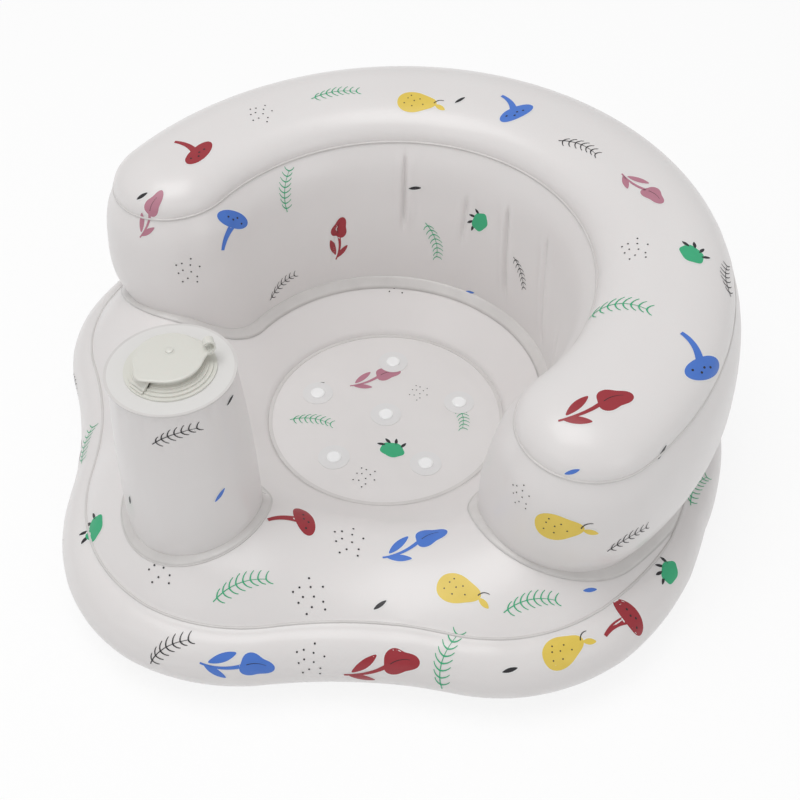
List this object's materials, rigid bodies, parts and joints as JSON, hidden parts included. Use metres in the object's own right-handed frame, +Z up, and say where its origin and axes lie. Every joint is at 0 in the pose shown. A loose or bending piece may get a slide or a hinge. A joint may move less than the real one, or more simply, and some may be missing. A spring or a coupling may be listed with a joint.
{
  "type": "inflatable baby bath seat",
  "caption": "Inflatable baby bath seat: rounded base with a seat well, C-shaped backrest with arms, and a front pommel that holds a press pump with a flap valve.",
  "frame": {"origin": "centre of the footprint on the ground, z = 0 at the underside", "axes": "+Z up, +Y towards the backrest, -Y towards the pommel, +X towards the right arm seen from above with the pommel nearest"},
  "size_m": [0.5608, 0.5594, 0.2188],
  "materials": {
    "printed_film": "satin printed PVC film",
    "weld": "welded PVC film",
    "valve_moulding": "soft white PVC moulding",
    "suction_cup": "soft clear moulding",
    "valve_flap": "thin soft flap",
    "foam": "open-cell foam"
  },
  "bodies": {
    "seat": {"backrest_flange": "weld", "backrest_top_panel": "printed_film", "backrest_top_seam": "weld", "backrest_wall_panel": "printed_film", "base_bottom_panel": "printed_film", "base_lower_seam": "weld", "base_side_panel": "printed_film", "base_top_panel": "printed_film", "base_upper_seam": "weld", "cup_patch_1": "weld", "cup_patch_2": "weld", "cup_patch_3": "weld", "cup_patch_4": "weld", "cup_patch_5": "weld", "cup_patch_6": "weld", "deflation_valve_body": "valve_moulding", "floor_seam": "weld", "pommel_flange": "weld", "pommel_wall": "printed_film", "pump_foam": "foam", "seat_floor": "printed_film", "suction_cup_1": "suction_cup", "suction_cup_2": "suction_cup", "suction_cup_3": "suction_cup", "suction_cup_4": "suction_cup", "suction_cup_5": "suction_cup", "suction_cup_6": "suction_cup", "transfer_valve_body": "valve_moulding"},
    "pump_head": {"pommel_top_disc": "printed_film", "pommel_top_seam": "weld", "intake_valve_body": "valve_moulding"},
    "intake_cap": {"intake_cap": "valve_moulding"},
    "intake_flap": {"intake_flap": "valve_flap"},
    "transfer_flap": {"transfer_flap": "valve_flap"},
    "deflation_cap": {"deflation_cap": "valve_moulding"},
    "deflation_flap": {"deflation_flap": "valve_flap"}
  },
  "joints": [
    {"name": "pump_press", "type": "slide", "parent": "seat", "child": "pump_head", "axis": [0, 0, -1], "range_m": [0, 0.045], "stiffness_N_per_m": 600, "deforming": ["pommel_wall", "pump_foam"]},
    {"name": "intake_cap_hinge", "type": "hinge", "parent": "pump_head", "child": "intake_cap", "pos_m": [0, -0.2112, 0.2103], "axis": [1, 0, 0], "range_deg": [0, 90]},
    {"name": "intake_flap_hinge", "type": "hinge", "parent": "pump_head", "child": "intake_flap", "pos_m": [0, -0.177, 0.2009], "axis": [1, 0, 0], "range_deg": [0, 25], "stiffness_Nm_per_rad": 0.0002},
    {"name": "transfer_flap_hinge", "type": "hinge", "parent": "seat", "child": "transfer_flap", "pos_m": [0, -0.1807, 0.0754], "axis": [1, 0, 0], "range_deg": [0, 30], "stiffness_Nm_per_rad": 0.0001},
    {"name": "deflation_cap_hinge", "type": "hinge", "parent": "seat", "child": "deflation_cap", "pos_m": [0, 0.2782, 0.098], "axis": [-1, 0, 0], "range_deg": [0, 140]},
    {"name": "deflation_flap_hinge", "type": "hinge", "parent": "seat", "child": "deflation_flap", "pos_m": [0, 0.2612, 0.119], "axis": [-1, 0, 0], "range_deg": [0, 40], "stiffness_Nm_per_rad": 0.0002}
  ]
}
